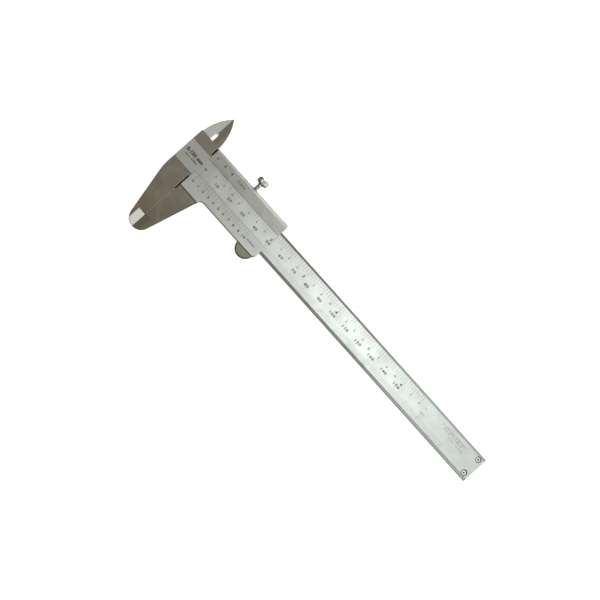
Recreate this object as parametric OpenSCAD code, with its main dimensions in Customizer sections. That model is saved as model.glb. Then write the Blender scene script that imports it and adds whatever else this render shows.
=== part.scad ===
// Vernier caliper with outside jaws, inside jaws and depth bar, lying on its back with the jaws closed.
// +X runs along the beam, +Y points to the inside jaws and +Z out of the scale face.
// Outlines are drawn with x = 0 at the closed outside jaws and y = 0 at the middle of the beam;
// place() then moves them so that the origin is under the middle of the caliper's outer box.

/* [Beam] */
// Length of the beam from the closed jaws to its far end
beam_length = 214.4; // [200:0.1:300]
// Width of the beam
beam_w = 16; // [14:0.5:20]
// Thickness of the beam and jaws beside the scale band
beam_t = 2.7; // [2.5:0.1:4]
// Height of the raised scale band
band_h = 0.3; // [0.1:0.05:0.6]
// Width of the low ledge on each side of the scale band
ledge_w = 1.25; // [0.5:0.05:2]

/* [Head and outside jaws] */
// Width of the head from its left edge to the closed jaws
head_w = 13.1; // [12:0.1:18]
// Rise of the head above the beam's upper edge
head_rise = 5; // [4.9:0.1:8]
// Reach of the outside jaws below the beam
jaw_depth = 40; // [32:1:60]
// Radius of the round outside jaw tips
jaw_tip_r = 6.5; // [5:0.1:8]
// Taper of the fixed outside jaw, from the vertical, in degrees
fixed_jaw_taper = 13.3; // [10:0.1:14]
// Taper of the movable outside jaw, from the vertical, in degrees
movable_jaw_taper = 14.3; // [10:0.1:16]
// Radius of the bend where the head runs into the fixed outside jaw
shoulder_r = 33; // [5:1:40]
// Depth of the relief in the fixed outside jaw's root
jaw_relief_w = 0.45; // [0.2:0.05:1]
// Length of both outside jaws' reliefs below the beam
jaw_relief_h = 10.1; // [8:0.1:15]
// Width of the thinned nib on the fixed outside jaw
fixed_nib_w = 4.6; // [2:0.1:5.5]
// Width of the thinned nib on the movable outside jaw
movable_nib_w = 3.8; // [2:0.1:5.5]
// Length of both nibs, up from the tips
nib_h = 9.1; // [5:0.1:14]
// Thickness of the nibs at their contact edge
nib_edge_t = 1.1; // [0.5:0.1:2]

/* [Inside jaws] */
// Reach of the inside jaws above the beam
inside_jaw_h = 21.4; // [15:0.1:30]
// Distance of the knife edges from the closed outside jaws
knife_x = 6.1; // [5:0.1:8]
// Distance of the movable inside jaw's outer edge from the closed outside jaws
inside_outer_x = 12.6; // [11:0.1:13]
// Radius of the fixed inside jaw's curved back
fixed_back_r = 27.7; // [20:0.1:60]
// Radius of the movable inside jaw's curved back
movable_back_r = 28; // [20:0.1:60]
// Gap between the two inside jaws, which slide past each other
split_gap = 0.1; // [0.05:0.01:0.3]
// Width of the relief at the root of each knife edge
knife_relief_w = 0.9; // [0.4:0.1:1.4]
// Height of that relief
knife_relief_h = 5; // [3:0.1:7]
// Width of the bevel behind each knife edge
knife_bevel_w = 3.4; // [1:0.1:4]
// Thickness left at each knife edge
knife_edge_t = 0.35; // [0.2:0.05:0.8]

/* [Slider] */
// Length of the slider
slider_length = 54.2; // [48:0.1:70]
// Distance of the slider's left end from the closed jaws
slider_start = 0.5; // [0.4:0.1:1.5]
// Thickness of the wall behind the beam
back_wall_t = 1.5; // [1.4:0.1:2.5]
// Width of the rail above the beam
upper_rail_w = 4.8; // [4.2:0.1:7]
// Width of the rail below the beam
lower_rail_w = 4.2; // [3:0.1:7]
// How far the slider's lower face reaches below the beam at the movable jaw
jaw_root_drop = 6.8; // [6.5:0.1:9]
// How far the upper vernier face reaches over the beam
upper_lip_reach = 2.8; // [1.5:0.1:4]
// How far the lower vernier face reaches over the beam
lower_lip_reach = 3.8; // [1.5:0.1:5]
// Thickness of the vernier faces at their inner edge
lip_edge_t = 0.15; // [0.1:0.05:0.5]
// Rise of the upper vernier face from its inner edge to its outer edge
upper_lip_rise = 1.05; // [0.6:0.05:1.5]
// Slope of the lower vernier face, in degrees
lower_lip_slope = 7.5; // [3:0.5:9]
// Width of the bevel along the slider's upper edge
top_bevel_w = 1.8; // [0.5:0.1:2.5]
// Drop of that bevel
top_bevel_h = 1.3; // [0.5:0.1:1.5]
// Radius of the slider's upper right corner
upper_corner_r = 1.3; // [0.5:0.1:2]
// Radius of the slider's lower right corner
lower_corner_r = 2; // [0.5:0.1:3]
// Radius of the fillet between the movable jaw and the slider
jaw_fillet_r = 2.2; // [0.5:0.1:2.4]
// Gap left between the closed outside jaws
closed_gap = 0.02; // [0.01:0.01:0.05]
// Running clearance between the slider and the beam
slide_clearance = 0.05; // [0.03:0.01:0.1]

/* [Thumb rest] */
// Radius of the thumb rest
thumb_r = 5.6; // [4:0.1:6.5]
// Distance from the slider's right end to the middle of the thumb rest
thumb_inset = 6.7; // [6.5:0.1:12]
// Distance of the thumb rest's centre above the slider's lower edge
thumb_sink = 0.5; // [0:0.1:1.5]
// Thickness of the thumb rest
thumb_t = 3.6; // [2:0.1:4]
// Height of the thumb rest's back above the slider's back
thumb_lift = 0.7; // [0.3:0.1:1.2]
// Width of the chamfer round the thumb rest
thumb_chamfer = 0.6; // [0.2:0.1:1]
// Number of serrations on the thumb rest
serration_count = 21; // [9:1:23]
// Radius of one serration
serration_r = 0.24; // [0.15:0.01:0.3]

/* [Gib and its screws] */
// Thickness of the gib strip
gib_t = 0.8; // [0.5:0.05:1]
// Height of the gib strip
gib_h = 2.5; // [2.2:0.1:2.7]
// Distance from each end of the slider to the gib strip
gib_margin = 2.5; // [2:0.1:6]
// Gap on each side of the gib strip
gib_gap = 0.04; // [0.02:0.01:0.1]
// Diameter of the two gib screws
gib_screw_d = 1.9; // [1.4:0.1:2.2]
// Distance of each gib screw from its end of the gib strip
gib_screw_inset = 7; // [4:0.5:12]
// Depth of the gib screws below the slider's upper edge
gib_screw_sink = 0.4; // [0.2:0.1:0.8]

/* [Clamp screw] */
// Distance of the clamp screw from the closed jaws
clamp_x = 28.45; // [22:0.05:36]
// Height of the clamp screw's axis above the caliper's back
clamp_z = 3.25; // [3.25:0.05:3.5]
// Diameter of the clamp screw's shank
clamp_shank_d = 2.2; // [1.8:0.1:2.4]
// Diameter of the clamp screw's head
clamp_head_d = 6.4; // [5:0.1:6.4]
// Thickness of the clamp screw's head
clamp_head_t = 3.1; // [2:0.1:4]
// Gap between the slider's upper edge and the clamp screw's head
clamp_reach = 4.1; // [3:0.1:6]
// Height of the cone under the clamp screw's head
clamp_cone_h = 0.7; // [0.4:0.1:1.5]
// Diameter of the cone at the head
clamp_cone_d = 5; // [3:0.1:5.4]
// Width of the coin slot in the clamp screw's head
coin_slot_w = 1.5; // [0.8:0.1:1.6]
// Depth of that slot
coin_slot_h = 0.6; // [0.5:0.1:1.5]
// Chamfer on the clamp screw's head
clamp_chamfer = 0.35; // [0.1:0.05:0.5]
// Radial clearance of the clamp screw in the slider
clamp_clearance = 0.05; // [0.02:0.01:0.1]

/* [Depth bar] */
// Width of the depth bar
depth_bar_w = 3.4; // [2.6:0.1:4.4]
// Thickness of the depth bar
depth_bar_t = 1.1; // [0.8:0.1:1.2]
// Gap between the depth bar and its groove on every side
depth_bar_gap = 0.1; // [0.05:0.01:0.2]
// Distance from the slider's right end to the start of the depth bar
depth_bar_grip = 23.7; // [21:0.1:28]
// Length of the narrow tip of the depth bar
depth_tip_h = 3.5; // [2:0.5:6]
// Width of that narrow tip
depth_tip_w = 2; // [1:0.1:2.4]
// Length of the depth bar's plate
plate_length = 22; // [18:0.5:24]
// Width of the depth bar's plate
plate_w = 6.2; // [5:0.1:8]
// Thickness of the depth bar's plate
plate_t = 0.55; // [0.4:0.05:0.7]
// Gap round the depth bar's plate and tongue
plate_gap = 0.05; // [0.02:0.01:0.1]
// Width of the tongue that holds the depth bar in the slider
tongue_w = 2.4; // [2:0.1:2.5]
// Diameter of the plate screws' shanks
plate_screw_d = 1.4; // [1:0.1:1.6]
// Distance of each plate screw from its end of the plate
plate_screw_inset = 4; // [3:0.5:6]

/* [Stop plate] */
// Length of the stop plate
stop_length = 7.5; // [6:0.1:12]
// Distance of the stop plate from the beam's edges
stop_inset = 0.4; // [0.2:0.1:1]
// Distance of the stop screws from the beam's far end
stop_screw_inset = 3.2; // [2.4:0.1:4]
// Distance of the stop screws from the beam's edges
stop_screw_edge = 2.9; // [2.5:0.1:3.5]
// Diameter of the stop screws' shanks
stop_screw_d = 1.6; // [1.2:0.1:1.8]
// Diameter of the countersinks in the scale face
countersink_d = 3.5; // [3:0.1:3.9]
// Depth of the stop screws' heads below the scale face
stop_screw_sink = 0.5; // [0.2:0.1:0.6]
// Clearance round every fastening screw
screw_gap = 0.03; // [0.02:0.01:0.06]
// Width across the flats of the hexagon sockets
socket_w = 1; // [0.7:0.1:1.2]

/* [Hidden] */
$fn = 64;

// Extra length of a cut past the face it leaves
past = 1;
// Straight pieces in a drawn arc
arc_steps = 24;

// Heights above the caliper's back
beam_z = back_wall_t + slide_clearance;
jaw_z = beam_z + beam_t;
band_z = jaw_z + band_h;
lip_z = band_z + slide_clearance;
mid_z = beam_z + beam_t / 2;

// Lines across the beam
beam_top = beam_w / 2;
beam_bottom = -beam_w / 2;
head_top = beam_top + head_rise;
slider_top = beam_top + upper_rail_w;
slider_bottom = beam_bottom - lower_rail_w;
jaw_root_y = beam_bottom - jaw_root_drop;
relief_y = beam_bottom - jaw_relief_h;
tip_y = beam_bottom - jaw_depth;
tip_centre_y = tip_y + jaw_tip_r;
nib_y = tip_y + nib_h;
inside_tip_y = beam_top + inside_jaw_h;
knife_relief_y = head_top + knife_relief_h;

// Lines along the beam
slider_end = slider_start + slider_length;
gib_start = slider_start + gib_margin;
gib_end = slider_end - gib_margin;
depth_bar_start = slider_end - depth_bar_grip;
plate_start = depth_bar_start - 1;
stop_start = beam_length - stop_length;
stop_screw_x = beam_length - stop_screw_inset;
stop_screw_y = beam_top - stop_screw_edge;

// Gib strip and its pocket above the beam's upper edge
gib_bottom_y = beam_top + gib_gap;
gib_top_y = gib_bottom_y + gib_t;
gib_z = mid_z - gib_h / 2;

// Depth bar heights
depth_bar_z = beam_z + depth_bar_gap;
depth_bar_top = depth_bar_z + depth_bar_t;
plate_z = plate_gap;
plate_top = plate_z + plate_t;

// Slot width in the small slotted screws
slot_w = 0.35;
slot_h = 0.3;

// Centres of the two plate screws and the height of their upper ends
plate_screw_front_x = plate_start + plate_screw_inset;
plate_screw_rear_x = plate_start + plate_length - plate_screw_inset;
plate_screw_top = depth_bar_top - 2 * slot_h;

// Points of an arc round (cx, cy), from one angle to another
function arc(cx, cy, r, from, to, steps = arc_steps) =
    [for (i = [0 : steps]) let (a = from + (to - from) * i / steps) [cx + r * cos(a), cy + r * sin(a)]];

// Points of an arc of radius r from p to q that bulges to the right of that way
function bulge(p, q, r) =
    let (
        way = q - p,
        back = sqrt(r * r - way * way / 4) / norm(way),
        centre = (p + q) / 2 + back * [-way.y, way.x],
        from = atan2(p.y - centre.y, p.x - centre.x),
        turn = 2 * asin(norm(way) / 2 / r)
    )
    arc(centre.x, centre.y, r, from, from + turn);

// Where a jaw's tapered side, tangent to its round tip, reaches a height y
function side_x(taper, y) =
    jaw_tip_r * cos(taper) + (y - tip_centre_y + jaw_tip_r * sin(taper)) * tan(taper);

// Height at which the fixed jaw's tapered side reaches the head's left edge
shoulder_y = tip_centre_y - jaw_tip_r * sin(fixed_jaw_taper)
    + (head_w - jaw_tip_r * cos(fixed_jaw_taper)) / tan(fixed_jaw_taper);

// Fillet between the movable jaw's side and the slider's lower edge
fillet_x = side_x(movable_jaw_taper, slider_bottom) + closed_gap
    + jaw_fillet_r / tan((90 + movable_jaw_taper) / 2);
fillet_points = arc(fillet_x, slider_bottom - jaw_fillet_r, jaw_fillet_r, 180 - movable_jaw_taper, 90, 12);

module place() {
    translate([(head_w - beam_length) / 2, (jaw_depth - inside_jaw_h) / 2, 0]) children();
}

// Prism with its outline in X and Z, between two heights y
module along_y(y0, y1) {
    translate([0, y1, 0]) rotate([90, 0, 0]) linear_extrude(y1 - y0) children();
}

// Prism with its outline in Y and Z, between two places x
module along_x(x0, x1) {
    translate([x0, 0, 0]) rotate([90, 0, 90]) linear_extrude(x1 - x0) children();
}

// Wedges that thin a jaw towards its contact edge, from front and back; side is -1 left or 1 right of it
module nib_wedges(side, w) {
    drop = (beam_t - nib_edge_t) / 2;
    slope = drop / w;
    for (flip = [0, 1]) {
        translate([0, 0, mid_z]) mirror([0, 0, flip]) along_y(tip_y - past, nib_y)
            polygon([
                [side * w, beam_t / 2],
                [-side * past, beam_t / 2 - drop - past * slope],
                [-side * past, beam_t],
                [side * w, beam_t]
            ]);
    }
}

// Outline of the beam with the head's lower part and the fixed outside jaw
module fixed_outline() {
    shoulder_centre_y = shoulder_y + shoulder_r * tan(fixed_jaw_taper / 2);
    polygon(concat(
        [[-head_w, beam_top]],
        arc(shoulder_r - head_w, shoulder_centre_y, shoulder_r, 180, 180 + fixed_jaw_taper, 8),
        arc(0, tip_centre_y, jaw_tip_r, 180 + fixed_jaw_taper, 270),
        [
            [0, relief_y],
            [-jaw_relief_w, relief_y + jaw_relief_w],
            [-jaw_relief_w, beam_bottom],
            [beam_length, beam_bottom],
            [beam_length, beam_top]
        ]
    ));
}

// Outline of the head's upper strip with the fixed inside jaw
module fixed_inside_outline() {
    polygon(concat(
        [
            [-head_w, beam_top - past],
            [-jaw_relief_w, beam_top - past],
            [-jaw_relief_w, head_top - 2 * jaw_relief_w]
        ],
        bulge([0, head_top], [-knife_x, inside_tip_y], fixed_back_r),
        [
            [-knife_x, knife_relief_y],
            [-knife_x + knife_relief_w, knife_relief_y - knife_relief_w],
            [-knife_x + knife_relief_w, head_top],
            [-head_w, head_top]
        ]
    ));
}

// Outline of the movable inside jaw with the arm that joins it to the slider
module movable_inside_outline() {
    arm_y = beam_top + slide_clearance;
    polygon(concat(
        [
            [gib_start, arm_y],
            [gib_start, slider_top],
            [-knife_x - knife_relief_w, slider_top],
            [-knife_x - knife_relief_w, knife_relief_y - knife_relief_w],
            [-knife_x, knife_relief_y]
        ],
        bulge([-knife_x, inside_tip_y], [-inside_outer_x, head_top], movable_back_r),
        [[-inside_outer_x, arm_y]]
    ));
}

// Bevel behind a knife edge; side is 1 for the jaw right of it and -1 for the jaw left of it
module knife_bevel(side) {
    jaw_t = (beam_t - split_gap) / 2;
    translate([-knife_x, 0, mid_z]) mirror([side < 0 ? 1 : 0, 0, 0]) mirror([0, 0, side < 0 ? 1 : 0])
        along_y(head_top, inside_tip_y + past)
            polygon([
                [-past, split_gap / 2 + knife_edge_t],
                [0, split_gap / 2 + knife_edge_t],
                [knife_bevel_w, split_gap / 2 + jaw_t],
                [knife_bevel_w, beam_t],
                [-past, beam_t]
            ]);
}

// Stop screw's axis, with its countersink's cone starting at the scale face
module at_stop_screw(side) {
    translate([stop_screw_x, side * stop_screw_y, 0]) children();
}

module countersunk_hole() {
    hole_r = stop_screw_d / 2 + screw_gap;
    cone_h = countersink_d / 2 - hole_r;
    translate([0, 0, -past]) cylinder(r = hole_r, h = band_z + 2 * past);
    translate([0, 0, band_z - cone_h]) cylinder(r1 = hole_r, r2 = countersink_d / 2, h = cone_h);
}

module main_beam() {
    color("silver") place() difference() {
        union() {
            translate([0, 0, beam_z]) linear_extrude(beam_t) fixed_outline();
            translate([0, 0, mid_z + split_gap / 2]) linear_extrude((beam_t - split_gap) / 2)
                fixed_inside_outline();
            translate([-head_w, beam_bottom + ledge_w, mid_z])
                cube([head_w + beam_length, beam_w - 2 * ledge_w, band_z - mid_z]);
        }
        nib_wedges(-1, fixed_nib_w);
        knife_bevel(1);
        translate([depth_bar_start - past, -depth_bar_w / 2 - depth_bar_gap, beam_z - past])
            cube([beam_length, depth_bar_w + 2 * depth_bar_gap, past + depth_bar_t + 2 * depth_bar_gap]);
        for (side = [-1, 1]) at_stop_screw(side) countersunk_hole();
    }
}

// The slider's section across the beam: back wall, rails and sloped vernier faces
module slider_section() {
    rail_top = beam_top + slide_clearance;
    rail_bottom = beam_bottom - slide_clearance;
    upper_edge = beam_top - upper_lip_reach;
    lower_edge = beam_bottom + lower_lip_reach;
    edge_z = lip_z + lip_edge_t;
    upper_z = edge_z + upper_lip_rise;
    lower_z = edge_z + (lower_edge - jaw_root_y) * tan(lower_lip_slope);
    polygon([
        [jaw_root_y, 0],
        [slider_top, 0],
        [slider_top, upper_z - top_bevel_h],
        [slider_top - top_bevel_w, upper_z],
        [upper_edge, edge_z],
        [upper_edge, lip_z],
        [rail_top, lip_z],
        [rail_top, back_wall_t],
        [rail_bottom, back_wall_t],
        [rail_bottom, lip_z],
        [lower_edge, lip_z],
        [lower_edge, edge_z],
        [jaw_root_y, lower_z]
    ]);
}

// The slider's outline seen from the front, without the jaws and the thumb rest
module slider_outline() {
    polygon(concat(
        [
            [slider_start, jaw_root_y],
            [side_x(movable_jaw_taper, jaw_root_y) + closed_gap, jaw_root_y]
        ],
        fillet_points,
        arc(slider_end - lower_corner_r, slider_bottom + lower_corner_r, lower_corner_r, -90, 0, 16),
        arc(slider_end - upper_corner_r, slider_top - upper_corner_r, upper_corner_r, 0, 90, 16),
        [[slider_start, slider_top]]
    ));
}

// Outline of the movable outside jaw, up into the slider's lower rail, with its relief in line with
// the slider's left end
module movable_outline() {
    root_y = beam_bottom - slide_clearance;
    polygon(concat(
        [
            [slider_start, root_y],
            [slider_start, relief_y + slider_start],
            [closed_gap, relief_y]
        ],
        arc(closed_gap, tip_centre_y, jaw_tip_r, 270, 360 - movable_jaw_taper),
        fillet_points,
        [[fillet_x, root_y]]
    ));
}

module thumb_rest() {
    thumb_x = slider_end - thumb_inset;
    thumb_y = slider_bottom + thumb_sink;
    rim_r = thumb_r - thumb_chamfer;
    // The serrations cover the part of the rim below the slider
    spread = 2 * acos(thumb_sink / thumb_r);
    intersection() {
        translate([thumb_x, thumb_y, thumb_lift]) difference() {
            union() {
                translate([0, 0, thumb_chamfer]) cylinder(r = thumb_r, h = thumb_t - 2 * thumb_chamfer);
                cylinder(r1 = rim_r, r2 = thumb_r, h = thumb_chamfer);
                translate([0, 0, thumb_t - thumb_chamfer])
                    cylinder(r1 = thumb_r, r2 = rim_r, h = thumb_chamfer);
            }
            for (i = [1 : serration_count]) {
                rotate(-90 + spread * (i / (serration_count + 1) - 0.5)) translate([thumb_r, 0, -past])
                    cylinder(r = serration_r, h = thumb_t + 2 * past, $fn = 16);
            }
        }
        // The thumb rest stays out of the beam's channel
        translate([thumb_x - thumb_r, slider_bottom - thumb_r, 0])
            cube([2 * thumb_r, thumb_r + lower_rail_w / 2, thumb_lift + thumb_t]);
    }
}

// A hole across the upper rail, along +Y, from the channel to past the slider's upper edge
module rail_hole(x, z, r) {
    translate([x, beam_top, z]) rotate([-90, 0, 0]) cylinder(r = r, h = upper_rail_w + past);
}

module slider_body() {
    slot_start = depth_bar_start + past;
    slot_end = plate_start + plate_length - past;
    tongue_slot_w = tongue_w + 2 * plate_gap;
    color("gainsboro") place() difference() {
        union() {
            intersection() {
                along_x(slider_start, slider_end) slider_section();
                linear_extrude(2 * lip_z) slider_outline();
            }
            translate([0, 0, beam_z]) linear_extrude(beam_t) movable_outline();
            translate([0, 0, beam_z]) linear_extrude((beam_t - split_gap) / 2) movable_inside_outline();
            thumb_rest();
        }
        nib_wedges(1, movable_nib_w);
        knife_bevel(-1);
        // Pocket of the gib strip
        translate([gib_start - gib_gap, beam_top, back_wall_t])
            cube([gib_end - gib_start + 2 * gib_gap, gib_t + 2 * gib_gap, lip_z - back_wall_t]);
        rail_hole(gib_start + gib_screw_inset, mid_z, gib_screw_d / 2 + screw_gap);
        rail_hole(gib_end - gib_screw_inset, mid_z, gib_screw_d / 2 + screw_gap);
        rail_hole(clamp_x, clamp_z, clamp_shank_d / 2 + clamp_clearance);
        // Pocket of the depth bar's plate and slot of its tongue
        translate([plate_start - plate_gap, -plate_w / 2 - plate_gap, -past])
            cube([plate_length + 2 * plate_gap, plate_w + 2 * plate_gap, past + plate_top]);
        translate([slot_start - plate_gap, -tongue_slot_w / 2, 0])
            cube([slot_end - slot_start + 2 * plate_gap, tongue_slot_w, beam_z]);
    }
}

module gib_strip() {
    color("darkgoldenrod") place() translate([gib_start, gib_bottom_y, gib_z])
        cube([gib_end - gib_start, gib_t, gib_h]);
}

// Headless slotted screw that presses on the gib strip
module gib_screw(x) {
    screw_l = slider_top - gib_screw_sink - gib_top_y;
    color("dimgray") place() translate([x, gib_top_y, mid_z]) rotate([-90, 0, 0]) difference() {
        cylinder(d = gib_screw_d, h = screw_l);
        translate([-gib_screw_d, -slot_w / 2, screw_l - slot_h])
            cube([2 * gib_screw_d, slot_w, slot_h + past]);
    }
}

module gib_screw_front() {
    gib_screw(gib_start + gib_screw_inset);
}

module gib_screw_rear() {
    gib_screw(gib_end - gib_screw_inset);
}

module clamp_screw() {
    shank_l = slider_top + clamp_reach - gib_top_y - gib_gap;
    head_top_l = shank_l + clamp_head_t;
    color("lightgray") place() translate([clamp_x, gib_top_y + gib_gap, clamp_z]) rotate([-90, 0, 0])
        difference() {
            rotate_extrude() polygon([
                [0, 0],
                [clamp_shank_d / 2 - clamp_chamfer, 0],
                [clamp_shank_d / 2, clamp_chamfer],
                [clamp_shank_d / 2, shank_l - clamp_cone_h],
                [clamp_cone_d / 2, shank_l],
                [clamp_head_d / 2 - clamp_chamfer, shank_l],
                [clamp_head_d / 2, shank_l + clamp_chamfer],
                [clamp_head_d / 2, head_top_l - clamp_chamfer],
                [clamp_head_d / 2 - clamp_chamfer, head_top_l],
                [0, head_top_l]
            ]);
            translate([-coin_slot_w / 2, -clamp_head_d, head_top_l - coin_slot_h])
                cube([coin_slot_w, 2 * clamp_head_d, coin_slot_h + past]);
        }
}

module depth_bar() {
    tongue_start = depth_bar_start + past;
    tongue_end = plate_start + plate_length - past;
    color("silver") place() difference() {
        union() {
            translate([depth_bar_start, -depth_bar_w / 2, depth_bar_z])
                cube([beam_length - depth_bar_start, depth_bar_w, depth_bar_t]);
            // Thick end that rests on the slider's back wall
            translate([depth_bar_start, -depth_bar_w / 2, back_wall_t])
                cube([tongue_end + past - depth_bar_start, depth_bar_w, depth_bar_top - back_wall_t]);
            translate([tongue_start, -tongue_w / 2, plate_top])
                cube([tongue_end - tongue_start, tongue_w, depth_bar_top - plate_top]);
        }
        // Narrow tip for measuring close to a corner
        translate([beam_length - depth_tip_h, depth_tip_w - depth_bar_w / 2, 0])
            cube([depth_tip_h + past, depth_bar_w, jaw_z]);
        for (x = [plate_screw_front_x, plate_screw_rear_x]) {
            translate([x, 0, 0]) cylinder(d = plate_screw_d + 2 * screw_gap, h = plate_screw_top + screw_gap);
        }
    }
}

// Cone of a plate screw's head, as large as the plate is thick
module plate_screw_cone(gap) {
    translate([0, 0, plate_z]) cylinder(d1 = plate_screw_d + 2 * plate_t + 2 * gap,
        d2 = plate_screw_d + 2 * gap, h = plate_t);
}

module depth_bar_plate() {
    color("silver") place() difference() {
        translate([plate_start, -plate_w / 2, plate_z]) cube([plate_length, plate_w, plate_t]);
        for (x = [plate_screw_front_x, plate_screw_rear_x]) {
            translate([x, 0, 0]) {
                plate_screw_cone(screw_gap);
                cylinder(d = plate_screw_d + 2 * screw_gap, h = jaw_z);
            }
        }
    }
}

// Slotted countersunk screw from the plate up into the depth bar
module plate_screw(x) {
    color("lightgray") place() translate([x, 0, 0]) difference() {
        union() {
            plate_screw_cone(0);
            translate([0, 0, plate_z]) cylinder(d = plate_screw_d, h = plate_screw_top - plate_z);
        }
        translate([-slot_w / 2, -plate_w, 0]) cube([slot_w, 2 * plate_w, plate_z + slot_h]);
    }
}

module plate_screw_front() {
    plate_screw(plate_screw_front_x);
}

module plate_screw_rear() {
    plate_screw(plate_screw_rear_x);
}

module stop_plate() {
    color("silver") place() difference() {
        translate([stop_start, beam_bottom + stop_inset, 0])
            cube([stop_length, beam_w - 2 * stop_inset, beam_z]);
        for (side = [-1, 1]) at_stop_screw(side)
            translate([0, 0, -past]) cylinder(d = stop_screw_d + 2 * screw_gap, h = beam_z + 2 * past);
    }
}

// Countersunk screw with a hexagon socket, from the scale face down into the stop plate
module stop_screw(side) {
    screw_r = stop_screw_d / 2;
    head_r = countersink_d / 2 - stop_screw_sink - screw_gap;
    head_z = band_z - stop_screw_sink;
    color("lightgray") place() at_stop_screw(side) difference() {
        union() {
            translate([0, 0, slot_h]) cylinder(r = screw_r, h = head_z - slot_h);
            translate([0, 0, head_z - (head_r - screw_r)])
                cylinder(r1 = screw_r, r2 = head_r, h = head_r - screw_r);
        }
        translate([0, 0, head_z - socket_w]) cylinder(d = socket_w / cos(30), h = socket_w + past, $fn = 6);
    }
}

module stop_screw_upper() {
    stop_screw(1);
}

module stop_screw_lower() {
    stop_screw(-1);
}

main_beam();
slider_body();
gib_strip();
gib_screw_front();
gib_screw_rear();
clamp_screw();
depth_bar();
depth_bar_plate();
plate_screw_front();
plate_screw_rear();
stop_plate();
stop_screw_upper();
stop_screw_lower();
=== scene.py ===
import math
import bmesh
import bpy
from mathutils import Matrix, Vector


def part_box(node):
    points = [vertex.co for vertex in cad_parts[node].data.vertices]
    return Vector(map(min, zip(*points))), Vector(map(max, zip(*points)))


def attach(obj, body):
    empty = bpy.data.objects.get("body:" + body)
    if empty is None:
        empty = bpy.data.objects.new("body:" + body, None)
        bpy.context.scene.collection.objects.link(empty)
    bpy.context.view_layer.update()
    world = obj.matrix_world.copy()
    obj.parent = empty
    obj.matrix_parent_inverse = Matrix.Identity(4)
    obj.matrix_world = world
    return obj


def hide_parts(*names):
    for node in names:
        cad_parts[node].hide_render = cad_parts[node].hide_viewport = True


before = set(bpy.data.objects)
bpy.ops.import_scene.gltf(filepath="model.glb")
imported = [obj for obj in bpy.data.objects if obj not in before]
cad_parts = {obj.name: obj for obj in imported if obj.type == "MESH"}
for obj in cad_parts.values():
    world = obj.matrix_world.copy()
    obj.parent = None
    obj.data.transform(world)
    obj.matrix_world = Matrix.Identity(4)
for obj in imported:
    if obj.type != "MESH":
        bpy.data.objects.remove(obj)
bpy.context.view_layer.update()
mm = 0.001  # every size below is in millimetres, every place in metres
weldGap = 0.0005 * mm  # corners closer than this are one corner
print("frame loaded,", len(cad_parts), "CAD nodes")

# Places that everything else is set out from
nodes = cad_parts
beamLow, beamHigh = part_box("main_beam")
sliderLow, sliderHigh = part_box("slider_body")
screwLow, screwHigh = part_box("clamp_screw")
plateLow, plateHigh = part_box("depth_bar_plate")
beamPoints = [v.co for v in nodes["main_beam"].data.vertices]
tipPoints = [co for co in beamPoints if co.y < beamLow.y + 5 * mm]
endPoints = [co for co in beamPoints if co.x > beamHigh.x - 1 * mm]
jawX = max(co.x for co in tipPoints)  # contact line of the closed outside jaws
jawZ = max(co.z for co in tipPoints)  # ground face of the jaws
bandZ = beamHigh.z  # scale face
midY = (plateLow.y + plateHigh.y) / 2  # middle line of the beam
halfBeam = max(co.y for co in endPoints) - midY


def at(x, y):
    # millimetres from the closed jaws and from the middle line, to metres
    return jawX + x * mm, midY + y * mm


def widestFace(node, wanted):
    # centre and normal of the widest flat face that passes a test
    faces = [p for p in nodes[node].data.polygons if wanted(p.normal)]
    face = max(faces, key=lambda p: p.area)
    return face.center.copy(), face.normal.copy()


def heightOn(plane, x, y):
    centre, normal = plane
    return centre.z - (normal.x * (x - centre.x) + normal.y * (y - centre.y)) / normal.z


def newPiece(name, mesh, body, material):
    piece = bpy.data.objects.new(name, mesh)
    bpy.context.scene.collection.objects.link(piece)
    mesh.materials.append(material)
    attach(piece, body)
    return piece


def meshFrom(bm, name):
    bmesh.ops.recalc_face_normals(bm, faces=bm.faces)
    mesh = bpy.data.meshes.new(name)
    bm.to_mesh(mesh)
    bm.free()
    return mesh


# Shader helpers
def link(tree, value, socket):
    # a socket is linked, a plain number or colour is set
    if isinstance(value, bpy.types.NodeSocket):
        tree.links.new(value, socket)
    elif hasattr(socket.default_value, "__len__") and len(socket.default_value) == 4:
        socket.default_value = (*value[:3], 1)
    else:
        socket.default_value = value


def calc(tree, operation, *values):
    node = tree.nodes.new("ShaderNodeMath")
    node.operation = operation
    for socket, value in zip(node.inputs, values):
        link(tree, value, socket)
    return node.outputs[0]


def vectorCalc(tree, operation, *values):
    node = tree.nodes.new("ShaderNodeVectorMath")
    node.operation = operation
    for socket, value in zip(node.inputs, values):
        link(tree, value, socket)
    return node.outputs["Value" if operation == "DOT_PRODUCT" else "Vector"]


def spread(tree, value, low, high, outLow=0.0, outHigh=1.0, smooth=True):
    node = tree.nodes.new("ShaderNodeMapRange")
    node.interpolation_type = "SMOOTHSTEP" if smooth else "LINEAR"
    link(tree, value, node.inputs["Value"])
    for name, number in zip(("From Min", "From Max", "To Min", "To Max"), (low, high, outLow, outHigh)):
        link(tree, number, node.inputs[name])
    return node.outputs["Result"]


def mixColour(tree, factor, first, second, blend="MIX"):
    node = tree.nodes.new("ShaderNodeMix")
    node.data_type = "RGBA"
    node.blend_type = blend
    link(tree, factor, node.inputs[0])
    link(tree, first, node.inputs[6])
    link(tree, second, node.inputs[7])
    return node.outputs[2]


def mixValue(tree, factor, first, second):
    node = tree.nodes.new("ShaderNodeMix")
    node.data_type = "FLOAT"
    link(tree, factor, node.inputs[0])
    link(tree, first, node.inputs[2])
    link(tree, second, node.inputs[3])
    return node.outputs[0]


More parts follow.
